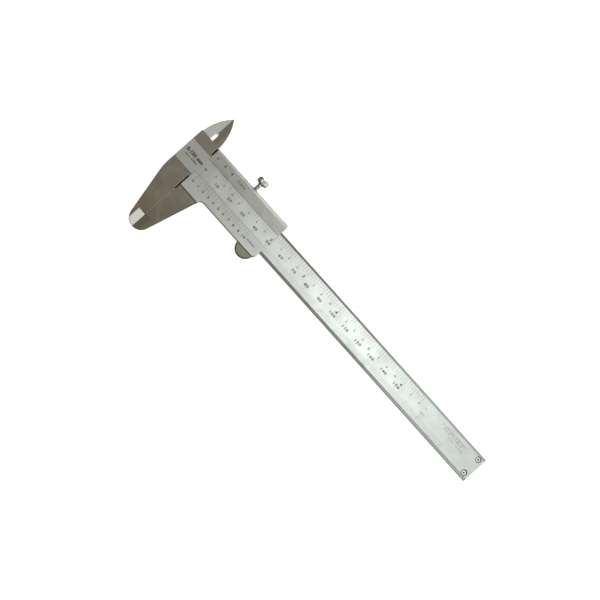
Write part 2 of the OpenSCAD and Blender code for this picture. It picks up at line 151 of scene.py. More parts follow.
def noise(tree, coordinates, scale, detail=2.0, roughness=0.5, distortion=0.0):
    node = tree.nodes.new("ShaderNodeTexNoise")
    link(tree, coordinates, node.inputs["Vector"])
    link(tree, scale, node.inputs["Scale"])
    node.inputs["Detail"].default_value = detail
    node.inputs["Roughness"].default_value = roughness
    node.inputs["Distortion"].default_value = distortion
    return node.outputs["Fac"]


def along(tree, coords, axis):
    split = tree.nodes.new("ShaderNodeSeparateXYZ")
    link(tree, coords, split.inputs[0])
    return split.outputs[axis]


def zone(tree, coords, **limits):
    # 1 inside a box, 0 outside it; limits are X, Y and Z pairs, None where the box is open
    inside = None
    for axis, pair in limits.items():
        place = along(tree, coords, axis)
        for limit, operation in zip(pair, ("GREATER_THAN", "LESS_THAN")):
            if limit is not None:
                test = calc(tree, operation, place, limit)
                inside = test if inside is None else calc(tree, "MULTIPLY", inside, test)
    return inside


# Camera and light
studio = {
    "lens": 230.0,
    "distance": 2.0,
    "tilt": 7.0,  # degrees from straight above, towards the outside jaws
    "turn": 48.1,  # degrees that the beam falls towards its far end
    "aim": (87.1, -8.4, 3.0),
    "roomColour": (0.27, 0.255, 0.225),
    "levelColour": (0.10, 0.095, 0.085),
    "windowColour": (0.92, 0.95, 0.92),
    "windowWay": (0.80, 0.20, 0.56),
    "windowEdges": (0.55, 0.95),
    "levelBand": (0.05, 0.7),  # the room brightens from the first height to the second
    "roomStrength": 1.0,
    "floorSize": 8000.0,
    "floorDrop": 0.02,
    "floorColour": (0.9, 0.9, 0.9),
    "floorGlow": 0.9,
    "shelterReach": 10.0,
    "floorShelter": (0.09, 0.20),  # painted contact shadow: the floor's glow and colour grow between these two shares of open sky
    "slotShelter": (0.20, 0.35),  # the same painted shadow for the slot between the closed jaws
    "slotHalfWidth": 0.6,
    "slotFoot": 20.0,  # from the jaws' tips to the slot's lower end
}
# name, place, aim, size, radiance, colour
softboxes = (
    ("beamSoftbox", (116.0, 66.0, 400.0), (116.0, 66.0, 0.0), (120.0, 300.0), 1.54, (0.91, 1.0, 0.985)),
    ("farSoftbox", (300.0, 0.0, 450.0), (230.0, 0.0, 0.0), (200.0, 420.0), 0.68, (0.90, 1.0, 1.06)),
    ("headSoftbox", (-120.0, 150.0, 400.0), (-120.0, 150.0, 0.0), (330.0, 210.0), 0.1, (1.0, 0.99, 0.96)),
    ("rearStrip", (280.0, 520.0, 110.0), (280.0, 0.0, 0.0), (580.0, 200.0), 1.45, (1.0, 1.0, 0.98)),
)


def buildCamera():
    tilt, turn = math.radians(studio["tilt"]), math.radians(studio["turn"])
    across = Vector((0, math.cos(tilt), math.sin(tilt)))
    lengthways = Vector((1, 0, 0))
    right = math.cos(turn) * lengthways + math.sin(turn) * across
    up = -math.sin(turn) * lengthways + math.cos(turn) * across
    back = right.cross(up)
    data = bpy.data.cameras.new("camera")
    data.lens = studio["lens"]
    data.sensor_width = 36.0
    data.clip_end = 50.0
    camera = bpy.data.objects.new("camera", data)
    bpy.context.scene.collection.objects.link(camera)
    aimX, aimY, aimZ = studio["aim"]
    aim = Vector((*at(aimX, aimY), aimZ * mm))
    rotation = Matrix((right, up, back)).transposed()
    camera.matrix_world = Matrix.Translation(aim + back * studio["distance"]) @ rotation.to_4x4()
    bpy.context.scene.camera = camera


def areaLight(name, place, aim, size, radiance, colour):
    data = bpy.data.lights.new(name, "AREA")
    data.shape = "RECTANGLE"
    data.size, data.size_y = size[0] * mm, size[1] * mm
    data.energy = radiance * math.pi * data.size * data.size_y
    data.color = colour
    light = bpy.data.objects.new(name, data)
    bpy.context.scene.collection.objects.link(light)
    light.visible_camera = False
    light.location = Vector((*at(place[0], place[1]), place[2] * mm))
    target = Vector((*at(aim[0], aim[1]), aim[2] * mm))
    light.rotation_mode = "QUATERNION"
    light.rotation_quaternion = (target - light.location).to_track_quat("-Z", "Y")


def buildWorld():
    # a dim room, darkest level with the object, with one wide bright side
    world = bpy.data.worlds.new("studio")
    bpy.context.scene.world = world
    world.use_nodes = True
    tree = world.node_tree
    tree.nodes.clear()
    way = tree.nodes.new("ShaderNodeTexCoord").outputs["Generated"]
    windowWay = Vector(studio["windowWay"]).normalized()
    window = spread(tree, vectorCalc(tree, "DOT_PRODUCT", way, windowWay), *studio["windowEdges"])
    high = spread(tree, calc(tree, "ABSOLUTE", along(tree, way, "Z")), *studio["levelBand"])
    room = mixColour(tree, high, studio["levelColour"], studio["roomColour"])
    background = tree.nodes.new("ShaderNodeBackground")
    background.inputs["Strength"].default_value = studio["roomStrength"]
    output = tree.nodes.new("ShaderNodeOutputWorld")
    link(tree, mixColour(tree, window, room, studio["windowColour"]), background.inputs["Color"])
    link(tree, background.outputs["Background"], output.inputs["Surface"])


def buildFloor():
    half = studio["floorSize"] * mm / 2
    bm = bmesh.new()
    bmesh.ops.create_grid(bm, x_segments=8, y_segments=8, size=half)
    mesh = meshFrom(bm, "floor")
    floor = bpy.data.objects.new("floor", mesh)
    bpy.context.scene.collection.objects.link(floor)
    floor.location.z = -studio["floorDrop"] * mm
    material = bpy.data.materials.new("paleFloor")
    material.use_nodes = True
    tree = material.node_tree
    shader = tree.nodes["Principled BSDF"]
    shader.inputs["Roughness"].default_value = 0.9
    shader.inputs["Specular IOR Level"].default_value = 0.1
    shader.inputs["Emission Color"].default_value = (1, 1, 1, 1)
    # painted contact shadow: the floor's glow and colour are darkened where little sky is open
    shelter = tree.nodes.new("ShaderNodeAmbientOcclusion")
    shelter.inputs["Distance"].default_value = studio["shelterReach"] * mm
    openSky = shelter.outputs["AO"]
    # painted shadow on the floor under the narrow slot between the closed jaws, by place and by how little
    # sky it sees
    slotHalf = studio["slotHalfWidth"] * mm
    slotEnds = (beamLow.y + studio["slotFoot"] * mm, midY)
    coords = tree.nodes.new("ShaderNodeTexCoord").outputs["Object"]
    slot = zone(tree, coords, X=(jawX - slotHalf, jawX + slotHalf), Y=slotEnds)
    walled = spread(tree, openSky, *studio["slotShelter"], 1.0, 0.0)
    outOfSlot = calc(tree, "SUBTRACT", 1.0, calc(tree, "MULTIPLY", slot, walled))
    light = calc(tree, "MULTIPLY", spread(tree, openSky, *studio["floorShelter"]), outOfSlot)
    link(tree, calc(tree, "MULTIPLY", light, studio["floorGlow"]), shader.inputs["Emission Strength"])
    link(tree, mixColour(tree, light, (0, 0, 0), studio["floorColour"]), shader.inputs["Base Color"])
    # the camera sees the floor from above only, so that the object's back can be looked at and lit too
    seen = tree.nodes.new("ShaderNodeLightPath").outputs["Is Camera Ray"]
    below = tree.nodes.new("ShaderNodeNewGeometry").outputs["Backfacing"]
    shown = calc(tree, "MULTIPLY", seen, calc(tree, "SUBTRACT", 1.0, below))
    clear = tree.nodes.new("ShaderNodeBsdfTransparent")
    either = tree.nodes.new("ShaderNodeMixShader")
    link(tree, shown, either.inputs[0])
    tree.links.new(clear.outputs["BSDF"], either.inputs[1])
    tree.links.new(shader.outputs["BSDF"], either.inputs[2])
    tree.links.new(either.outputs["Shader"], tree.nodes["Material Output"].inputs["Surface"])
    mesh.materials.append(material)


buildCamera()
buildWorld()
buildFloor()
for softbox in softboxes:
    areaLight(*softbox)
bpy.context.scene.view_settings.view_transform = "Standard"
print("camera, light and floor ready")


def nodeGroup(name, inputs, outputs):
    group = bpy.data.node_groups.new(name, "ShaderNodeTree")
    for socketName, kind, value in inputs:
        socketType = "NodeSocket" + kind
        socket = group.interface.new_socket(name=socketName, in_out="INPUT", socket_type=socketType)
        if value is not None:
            socket.default_value = value
    for socketName, kind in outputs:
        group.interface.new_socket(name=socketName, in_out="OUTPUT", socket_type="NodeSocket" + kind)
    return group, group.nodes.new("NodeGroupInput").outputs, group.nodes.new("NodeGroupOutput").inputs


def placeGroup(tree, group, **values):
    node = tree.nodes.new("ShaderNodeGroup")
    node.node_tree = group
    for name, value in values.items():
        link(tree, value, node.inputs[name])
    return node.outputs


# Fine dull grain of satin chrome: tiny pits over a slow cloudiness
def buildSatinGrain():
    group, given, made = nodeGroup(
        "satinGrain",
        [("Coordinates", "Vector", None), ("Grain", "Float", 7000.0), ("Cloud", "Float", 160.0)],
        [("Height", "Float"), ("Cloudiness", "Float")],
    )
    fine = noise(group, given["Coordinates"], given["Grain"], 2.0, 0.6)
    coarse = noise(group, given["Coordinates"], calc(group, "MULTIPLY", given["Grain"], 0.23), 1.0)
    cloud = noise(group, given["Coordinates"], given["Cloud"], 3.0, 0.55, 0.4)
    height = calc(group, "ADD", calc(group, "MULTIPLY", fine, 0.7), calc(group, "MULTIPLY", coarse, 0.3))
    link(group, height, made["Height"])
    link(group, spread(group, cloud, 0.3, 0.7), made["Cloudiness"])
    return group


# Fine lines left by grinding, long one way and narrow the other
def buildGrindLines():
    group, given, made = nodeGroup(
        "grindLines",
        [("Coordinates", "Vector", None), ("Stretch", "Vector", (0.02, 1.0, 1.0)),
         ("Lines", "Float", 6000.0)],
        [("Height", "Float"), ("Streaks", "Float")],
    )
    stretched = vectorCalc(group, "MULTIPLY", given["Coordinates"], given["Stretch"])
    fine = noise(group, stretched, given["Lines"], 2.0, 0.6)
    broad = noise(group, stretched, calc(group, "MULTIPLY", given["Lines"], 0.18), 2.0)
    height = calc(group, "ADD", calc(group, "MULTIPLY", fine, 0.65), calc(group, "MULTIPLY", broad, 0.35))
    link(group, height, made["Height"])
    link(group, spread(group, broad, 0.32, 0.68), made["Streaks"])
    return group


# Bright, slightly broken line where an edge has rubbed
def buildEdgeWear():
    group, given, made = nodeGroup(
        "edgeWear",
        [("Coordinates", "Vector", None), ("Radius", "Float", 0.00009), ("Breaks", "Float", 900.0)],
        [("Wear", "Float"), ("Rounded", "Vector")],
    )
    rounded = group.nodes.new("ShaderNodeBevel")
    rounded.samples = 6
    link(group, given["Radius"], rounded.inputs["Radius"])
    geometry = group.nodes.new("ShaderNodeNewGeometry")
    level = vectorCalc(group, "DOT_PRODUCT", rounded.outputs["Normal"], geometry.outputs["True Normal"])
    edge = spread(group, level, 0.995, 0.8)
    breaks = spread(group, noise(group, given["Coordinates"], given["Breaks"], 3.0), 0.35, 0.6, 0.35, 1.0)
    link(group, calc(group, "MULTIPLY", edge, breaks), made["Wear"])
    link(group, rounded.outputs["Normal"], made["Rounded"])
    return group


# Painted shade darkening the corners, found by ambient occlusion, and oil and fingermarks that change the
# gloss
def buildHandling():
    group, given, made = nodeGroup(
        "cornerShadeAndSmudges",
        [("Coordinates", "Vector", None), ("Reach", "Float", 0.0006), ("Marks", "Float", 90.0)],
        [("CornerShade", "Float"), ("Smudges", "Float")],
    )
    shade = group.nodes.new("ShaderNodeAmbientOcclusion")
    shade.samples = 6
    link(group, given["Reach"], shade.inputs["Distance"])
    # painted shade: how deep in a corner a point sits, from ambient occlusion
    corners = spread(group, shade.outputs["AO"], 0.80, 0.30)
    marks = noise(group, given["Coordinates"], given["Marks"], 4.0, 0.6, 1.2)
    link(group, corners, made["CornerShade"])
    link(group, spread(group, marks, 0.45, 0.72), made["Smudges"])
    return group


satinGrain = buildSatinGrain()
grindLines = buildGrindLines()
edgeWear = buildEdgeWear()
cornerShadeAndSmudges = buildHandling()


def startMaterial(name):
    material = bpy.data.materials.new(name)
    material.use_nodes = True
    tree = material.node_tree
    coords = tree.nodes.new("ShaderNodeTexCoord").outputs["Object"]
    shader = tree.nodes["Principled BSDF"]
    shader.inputs["Metallic"].default_value = 1.0
    return material, tree, coords, shader


def bumpNormal(tree, height, depth, normal=None):
    node = tree.nodes.new("ShaderNodeBump")
    node.inputs["Strength"].default_value = 1.0
    node.inputs["Distance"].default_value = 1.0
    link(tree, calc(tree, "MULTIPLY", height, depth), node.inputs["Height"])
    if normal is not None:
        link(tree, normal, node.inputs["Normal"])
    return node.outputs["Normal"]


# Colours and finish of each zone; the depths of grain and lines are in millimetres
satinLook = {
    "colour": (0.66, 0.665, 0.64),
    "cloudColour": (0.60, 0.60, 0.57),
    "roughness": 0.31,
    "grain": 0.0016,
}
groundLook = {
    "colour": (0.455, 0.42, 0.36),
    "streakColour": (0.43, 0.396, 0.34),
    "roughness": 0.18,
    "lines": 0.00012,
}
# painted shade: the ledges are darkened, and the shade fades towards the far end
ledgeShadeLook = {"colour": (0.17, 0.165, 0.148), "roughness": 0.30}
farLedgeLook = {"colour": (0.44, 0.445, 0.425), "roughness": 0.34}
# painted shade over the band's end above the fixed jaw
headShadeLook = {"colour": (0.57, 0.565, 0.54), "roughness": 0.31}
lowJawLook = {"colour": (0.40, 0.355, 0.285), "roughness": 0.18}
nibLook = {"colour": (0.25, 0.236, 0.208), "roughness": 0.20}
insideJawLook = {"colour": (0.70, 0.705, 0.68), "roughness": 0.36}
# painted shade in the slot between the head and the slider
slotShadeLook = {"colour": (0.03, 0.027, 0.022), "roughness": 0.60}
thumbLook = {"colour": (0.27, 0.26, 0.205), "roughness": 0.42}
# painted shade in the corners, bright rubbed edges and smudges in the gloss
shadeWearAndSmudges = {
    "wornColour": (0.72, 0.71, 0.68),
    # colour and strength of the painted corner shade
    "cornerShadeColour": (0.05, 0.043, 0.035),
    "cornerShade": 0.95,
    "bigEdges": 0.3,  # how bright the rubbed edges of the beam and the slider get
    "smallEdges": 0.6,  # the same for the small pieces
    "polish": 0.12,
    "bigSmudges": 0.06,
    "smallSmudges": 0.08,
    "beamReach": 0.2,  # how far out of a corner the painted shade spreads
    "sliderReach": 1.2,
}


def aged(tree, colour, wear, shadeAndSmudges, edges):
    # painted shade in the corners, then bare metal along the rubbed edges
    cornerShade = calc(tree, "MULTIPLY", shadeAndSmudges["CornerShade"], shadeWearAndSmudges["cornerShade"])
    rubbed = calc(tree, "MULTIPLY", wear["Wear"], edges)
    colour = mixColour(tree, cornerShade, colour, shadeWearAndSmudges["cornerShadeColour"])
    return mixColour(tree, rubbed, colour, shadeWearAndSmudges["wornColour"])


def steelAndSatin(name, satinZone, patches, reach):
    # ground steel and satin chrome on one piece, told apart by place, and patches with a look of their own,
    # some of them painted shade
    material, tree, coords, shader = startMaterial(name)
    satin = satinZone(tree, coords)
    grain = placeGroup(tree, satinGrain, Coordinates=coords)
    lines = placeGroup(tree, grindLines, Coordinates=coords)
    wear = placeGroup(tree, edgeWear, Coordinates=coords)
    shadeAndSmudges = placeGroup(tree, cornerShadeAndSmudges, Coordinates=coords, Reach=reach * mm)
    satinColour = mixColour(tree, grain["Cloudiness"], satinLook["colour"], satinLook["cloudColour"])
    groundColour = mixColour(tree, lines["Streaks"], groundLook["colour"], groundLook["streakColour"])
    colour = mixColour(tree, satin, groundColour, satinColour)
    roughness = mixValue(tree, satin, groundLook["roughness"], satinLook["roughness"])
    for patchZone, look in patches:
        patch = patchZone(tree, coords)
        colour = mixColour(tree, patch, colour, look["colour"])
        roughness = mixValue(tree, patch, roughness, look["roughness"])
    smudges = calc(tree, "MULTIPLY", shadeAndSmudges["Smudges"], shadeWearAndSmudges["bigSmudges"])
    polish = calc(tree, "MULTIPLY", wear["Wear"], shadeWearAndSmudges["polish"])
    roughness = calc(tree, "SUBTRACT", calc(tree, "ADD", roughness, smudges), polish)
    groundHeight = calc(tree, "MULTIPLY", lines["Height"], groundLook["lines"] * mm)
    satinHeight = calc(tree, "MULTIPLY", grain["Height"], satinLook["grain"] * mm)
    height = mixValue(tree, satin, groundHeight, satinHeight)
    link(tree, aged(tree, colour, wear, shadeAndSmudges, shadeWearAndSmudges["bigEdges"]), shader.inputs["Base Color"])
    link(tree, roughness, shader.inputs["Roughness"])
    link(tree, bumpNormal(tree, height, 1.0, wear["Rounded"]), shader.inputs["Normal"])
    return material


def plainSteel(name, colour, streakColour, roughness, depth,
               stretch=(0.02, 1.0, 1.0), scale=6000.0, reach=0.6):
    # one turned or ground finish all over
    material, tree, coords, shader = startMaterial(name)
    lines = placeGroup(tree, grindLines, Coordinates=coords, Stretch=stretch, Lines=scale)
    wear = placeGroup(tree, edgeWear, Coordinates=coords)
    shadeAndSmudges = placeGroup(tree, cornerShadeAndSmudges, Coordinates=coords, Reach=reach * mm)
    tone = mixColour(tree, lines["Streaks"], colour, streakColour)
    smudges = calc(tree, "MULTIPLY", shadeAndSmudges["Smudges"], shadeWearAndSmudges["smallSmudges"])
    link(tree, aged(tree, tone, wear, shadeAndSmudges, shadeWearAndSmudges["smallEdges"]), shader.inputs["Base Color"])
    link(tree, calc(tree, "ADD", smudges, roughness), shader.inputs["Roughness"])
    link(tree, bumpNormal(tree, lines["Height"], depth * mm, wear["Rounded"]), shader.inputs["Normal"])
    return material


def etchedInk(name, colour, fadedColour):
    # dark filling of the etched marks, a little uneven
    material, tree, coords, shader = startMaterial(name)
    shader.inputs["Metallic"].default_value = 0.0
    patches = spread(tree, noise(tree, coords, 700.0, 3.0), 0.35, 0.7)
    link(tree, mixColour(tree, patches, colour, fadedColour), shader.inputs["Base Color"])
    link(tree, mixValue(tree, patches, 0.45, 0.65), shader.inputs["Roughness"])
    link(tree, bumpNormal(tree, noise(tree, coords, 6000.0), 0.002 * mm), shader.inputs["Normal"])
    return material


# Where each zone ends, in millimetres
zoneEdges = {
    "lowerRail": 4.2,  # below the beam
    "jawRoot": 6.8,  # below the beam
    "upperRail": 4.8,  # above the beam
    "thumbStart": 35.0,  # from the closed jaws
    "ledgeWidth": 1.3,
    "ledgeDepth": 0.3,
    "ledgeStart": 1.0,
    "headShadeFade": (-1.0, 9.0),  # along the beam, from painted shade to bright
    "ledgeShadeFade": (105.0, 215.0),  # along the beam, over which the ledges' painted shade fades
    "ledgeShadeFaded": 0.9,
    "brownTip": 8.0,
    "nibWidth": 4.6,
    "nibHeight": 9.1,
    "slot": (-0.5, 0.55),
    "past": 0.1,  # a zone starts this far past the edge that it follows
    "round": 0.05,  # or reaches this far round it
    "thumbPast": 0.02,
}
sliderBottom = midY - halfBeam - zoneEdges["lowerRail"] * mm
sliderTop = midY + halfBeam + zoneEdges["upperRail"] * mm
jawRoot = midY - halfBeam - zoneEdges["jawRoot"] * mm
thumbX = jawX + zoneEdges["thumbStart"] * mm
stepZ = (jawZ + bandZ) / 2  # halfway up the step between the ledges and the scale band


def beamSatin(tree, coords):
    return zone(tree, coords, Z=(stepZ, None))


def beamLedges(tree, coords):
    # the low strips beside the scale band, darkened as painted shade
    edge = halfBeam - zoneEdges["ledgeWidth"] * mm
    start = (jawX + zoneEdges["ledgeStart"] * mm, None)
    height = (jawZ - zoneEdges["ledgeDepth"] * mm, stepZ)
    upper = zone(tree, coords, X=start, Y=(midY + edge, None), Z=height)
    lower = zone(tree, coords, X=start, Y=(None, midY - edge), Z=height)
    return calc(tree, "MAXIMUM", upper, lower)


def headBand(tree, coords):
    # the scale band's bare end above the fixed jaw is a little darker, as painted shade
    bright, shadedEnd = (jawX + end * mm for end in reversed(zoneEdges["headShadeFade"]))
    fade = spread(tree, along(tree, coords, "X"), shadedEnd, bright, 1.0, 0.0)
    return calc(tree, "MULTIPLY", fade, beamSatin(tree, coords))


def farLedges(tree, coords):
    # the ledges' painted shade fades towards the far end
    start, end = (jawX + x * mm for x in zoneEdges["ledgeShadeFade"])
    shadeFading = spread(tree, along(tree, coords, "X"), start, end, 0.0, zoneEdges["ledgeShadeFaded"])
    return calc(tree, "MULTIPLY", beamLedges(tree, coords), shadeFading)


def lowJaws(tree, coords):
    # the outside jaws get browner towards their tips
    return spread(tree, along(tree, coords, "Y"), jawRoot, beamLow.y + zoneEdges["brownTip"] * mm)


def beamNib(tree, coords):
    left = jawX - zoneEdges["nibWidth"] * mm
    return zone(tree, coords, X=(left, None), Y=(None, beamLow.y + zoneEdges["nibHeight"] * mm))


def sliderSatin(tree, coords):
    # everything above the jaws' ground face, and the slider between the movable jaw and its upper edge
    high = zone(tree, coords, Z=(jawZ + zoneEdges["past"] * mm, None))
    around = zoneEdges["round"] * mm
    return calc(tree, "MAXIMUM", high, zone(tree, coords, Y=(jawRoot - around, sliderTop + around)))


def sliderThumb(tree, coords):
    top = sliderBottom - zoneEdges["thumbPast"] * mm
    return zone(tree, coords, X=(thumbX, None), Y=(None, top))


def insideJaw(tree, coords):
    return zone(tree, coords, Y=(sliderTop + zoneEdges["past"] * mm, None))


def jawSlot(tree, coords):
    # painted shade on the slider between the head and the slider, above the beam
    width = tuple(jawX + x * mm for x in zoneEdges["slot"])
    return zone(tree, coords, X=width, Y=(midY + halfBeam, sliderTop), Z=(None, jawZ))


beamPatches = (
    (lowJaws, lowJawLook),
    (headBand, headShadeLook),
    (beamLedges, ledgeShadeLook),
    (farLedges, farLedgeLook),
    (beamNib, nibLook),
)
sliderPatches = (
    (lowJaws, lowJawLook),
    (sliderThumb, thumbLook),
    (insideJaw, insideJawLook),
    (jawSlot, slotShadeLook),
)
beamSteel = steelAndSatin("groundSteelAndSatin", beamSatin, beamPatches, shadeWearAndSmudges["beamReach"])
sliderSteel = steelAndSatin("satinChromeSlider", sliderSatin, sliderPatches, shadeWearAndSmudges["sliderReach"])

# Colour, streak colour, roughness and line depth, then stretch and scale of the lines and reach of the
# painted corner shade
evenly = (1.0, 1.0, 1.0)
smallFinishes = {
    "groundBar": ((0.56, 0.54, 0.50), (0.46, 0.44, 0.40), 0.28, 0.0006),
    "rolledPlate": ((0.60, 0.585, 0.55), (0.52, 0.50, 0.46), 0.34, 0.0008, (0.03, 1.0, 1.0), 4000.0),
    "blackenedScrew": ((0.20, 0.195, 0.19), (0.12, 0.115, 0.11), 0.35, 0.0008, evenly, 5000.0),
    "turnedScrew": ((0.84, 0.84, 0.82), (0.76, 0.76, 0.74), 0.28, 0.0008, evenly, 5000.0, 1.2),
    "gibBronze": ((0.62, 0.42, 0.20), (0.48, 0.30, 0.13), 0.32, 0.0008),
    "brightChrome": ((0.66, 0.66, 0.65), (0.58, 0.58, 0.57), 0.14, 0.0003, (1.0, 0.05, 1.0), 5000.0),
}
steels = {name: plainSteel(name, *finish) for name, finish in smallFinishes.items()}
darkInk = etchedInk("scaleInk", (0.09, 0.09, 0.09), (0.16, 0.16, 0.155))
paleInk = etchedInk("faintInk", (0.34, 0.34, 0.33), (0.44, 0.44, 0.43))
print("materials ready")

# The two big pieces are the CAD shapes with their sharp outer edges rounded
softening = {
    "edge": 0.12,
    "corner": 25.0,  # edges that turn by more degrees than this are rounded
    "crease": 8.0,  # edges that turn by more degrees than this are not shaded over
    "flat": 0.5,
    "segments": 2,
}


def softenedMesh(node, wanted):
    bm = bmesh.new()
    bm.from_mesh(nodes[node].data)
    bmesh.ops.remove_doubles(bm, verts=bm.verts, dist=weldGap)
    flat, corner, crease = (math.radians(softening[turn]) for turn in ("flat", "corner", "crease"))
    bmesh.ops.dissolve_limit(bm, angle_limit=flat, verts=bm.verts, edges=bm.edges)
    bm.normal_update()
    edges = [e for e in bm.edges if e.is_convex and e.calc_face_angle(0) > corner and wanted(e)]
    rounded = bmesh.ops.bevel(bm, geom=edges, offset=softening["edge"] * mm, offset_type="OFFSET",
                              segments=softening["segments"], profile=0.5, affect="EDGES")
    strips = set(rounded["faces"])
    bm.normal_update()
    for face in bm.faces:
        face.smooth = True
    for edge in bm.edges:
        inside = all(face in strips for face in edge.link_faces)
        edge.smooth = inside or edge.calc_face_angle(0) < crease
    mesh = bpy.data.meshes.new(node)
    bm.to_mesh(mesh)
    bm.free()
    return mesh


def offContact(edge):
    # the ground contact edges of the outside jaws stay sharp
    return not all(abs(v.co.x - jawX) < 0.05 * mm and v.co.y < midY for v in edge.verts)


def offSerrations(edge):
    # the thumb rest's fine serrations keep their own edges too
    onThumb = all(v.co.y < sliderBottom + 0.01 * mm and v.co.x > thumbX for v in edge.verts)
    return offContact(edge) and not onThumb


beamPiece = newPiece("hardenedBeam", softenedMesh("main_beam", offContact), "beam", beamSteel)
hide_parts("main_beam")
sliderPiece = newPiece("chromedSlider", softenedMesh("slider_body", offSerrations), "slider", sliderSteel)
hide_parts("slider_body")
print("beam and slider ready")

# The small CAD nodes keep their shape and get a finish, and the flat ones soft edges
softEdges = {"gib_strip": 0.05, "depth_bar": 0.08, "depth_bar_plate": 0.05, "stop_plate": 0.10}
bevelledCorner = 32.0  # edges that turn by more degrees than this get a bevel
finishes = {
    "gib_strip": "gibBronze",
    "gib_screw_front": "blackenedScrew",
    "gib_screw_rear": "blackenedScrew",
    "depth_bar": "groundBar",
    "depth_bar_plate": "rolledPlate",
    "plate_screw_front": "turnedScrew",
    "plate_screw_rear": "turnedScrew",
    "stop_plate": "rolledPlate",
    "stop_screw_upper": "turnedScrew",
    "stop_screw_lower": "turnedScrew",
}
for name, finish in finishes.items():
    node = nodes[name]
    node.data.materials.clear()
    node.data.materials.append(steels[finish])
    if name in softEdges:
        weld = node.modifiers.new("weld", "WELD")
        weld.merge_threshold = weldGap
        bevel = node.modifiers.new("bevel", "BEVEL")
        bevel.width = softEdges[name] * mm
        bevel.segments = 2
        bevel.limit_method = "ANGLE"
        bevel.angle_limit = math.radians(bevelledCorner)
        level = node.modifiers.new("level", "WEIGHTED_NORMAL")
        level.keep_sharp = False
print("CAD nodes finished")

# Scale marks: thin filled lines that stand a hair proud of their face
marks = {
    "line": 0.11,
    "proud": 0.008,
    "depth": 0.05,
    "capShare": 0.73,  # height of a capital as a share of the font's size
    "spacing": 1.12,
    "bold": 0.06,
    "stretch": 1.4,
    "sameCorner": 0.002,
}
bandPlane = widestFace("main_beam", lambda n: n.z > 0.9999)
bandPlane = (Vector((bandPlane[0].x, bandPlane[0].y, bandZ)), Vector((0, 0, 1)))
upperPlane = widestFace("slider_body", lambda n: n.z > 0.95 and n.y < -0.05)
lowerPlane = widestFace("slider_body", lambda n: n.z > 0.95 and n.y > 0.05)


def addLine(bm, x, start, end, plane):
    half = marks["line"] / 2
    low, high = sorted((start, end))
    outline = [at(x + side * half, y) for side, y in ((-1, low), (1, low), (1, high), (-1, high))]
    top = [bm.verts.new((x, y, heightOn(plane, x, y) + marks["proud"] * mm)) for x, y in outline]
    bottom = [bm.verts.new((x, y, heightOn(plane, x, y) - marks["depth"] * mm)) for x, y in outline]
    bm.faces.new(top)
    bm.faces.new(bottom[::-1])
    for i in range(len(top)):
        j = (i + 1) % len(top)
        bm.faces.new((top[i], bottom[i], bottom[j], top[j]))


def addText(bm, body, x, y, height, plane, bold=0.0, stretch=1.0):
    curve = bpy.data.curves.new("lettering", "FONT")
    curve.body = body
    curve.align_x = "CENTER"
    curve.align_y = "CENTER"
    curve.size = height / marks["capShare"]
    curve.space_character = marks["spacing"]
    curve.offset = bold
    curve.extrude = 0.5
    curve.resolution_u = 2
    holder = bpy.data.objects.new("lettering", curve)
    bpy.context.scene.collection.objects.link(holder)
    mesh = bpy.data.meshes.new_from_object(holder)
    bpy.data.objects.remove(holder)
    bpy.data.curves.remove(curve)
    letters = bmesh.new()
    letters.from_mesh(mesh)
    bmesh.ops.remove_doubles(letters, verts=letters.verts, dist=marks["sameCorner"])
    for v in letters.verts:
        placeX, placeY = at(x + v.co.x * stretch, y + v.co.y)
        lift = marks["proud"] if v.co.z > 0 else -marks["depth"]
        v.co = (placeX, placeY, heightOn(plane, placeX, placeY) + lift * mm)
    letters.to_mesh(mesh)
    letters.free()
    bm.from_mesh(mesh)
    bpy.data.meshes.remove(mesh)


def addNumber(bm, number, x, y, height, plane):
    addText(bm, str(number), x, y, height, plane, marks["bold"], marks["stretch"])


mainScale = {
    "zero": 3.65,
    "lastMm": 189,
    "lastMmNumber": 150,
    "mmStart": -6.7,
    "mmEnds": (-3.3, -2.8, -2.3),  # every 1, 5 and 10 mm
    "mmNumberY": -1.05,
    "zeroNumberY": 0.2,
    "numberHeight": 1.5,
    "inch": 25.4,
    "lastSixteenth": 104,
    "inchStart": 6.7,
    "inchEnds": (3.6, 3.0, 2.6, 2.2),  # every 1/16, 1/8, 1/4 and whole inch
    "inchNumberY": 1.2,
    "inchNumberShift": -0.7,
    "quarterY": 1.75,
    "quarterHeight": 1.0,
    "quarterBold": 0.05,
}
# text, place along and across the beam, height, boldness and stretch
unitMarks = (("in", 173.5, 2.6, 1.1), ("mm", 173.5, -0.8, 1.3))
headRows = (
    ("0-150 mm", -5.4, 0.95, 1.9, 0.20),
    ("0-6 in  1/128 in", -5.7, -1.5, 0.90, 0.09),
)
endRows = (
    ("0-150 mm  0.05 mm", 193.8, 4.2, 1.0, 0.03, marks["stretch"]),
    ("0-6 in  1/128 in", 193.8, 2.8, 1.0, 0.03, marks["stretch"]),
    ("1 mm  1/16 in", 197.5, 1.0, 0.9, 0.02, marks["stretch"]),
)


def addRows(bm, rows, plane):
    for body, x, y, height, *style in rows:
        addText(bm, body, x, y, height, plane, *style)


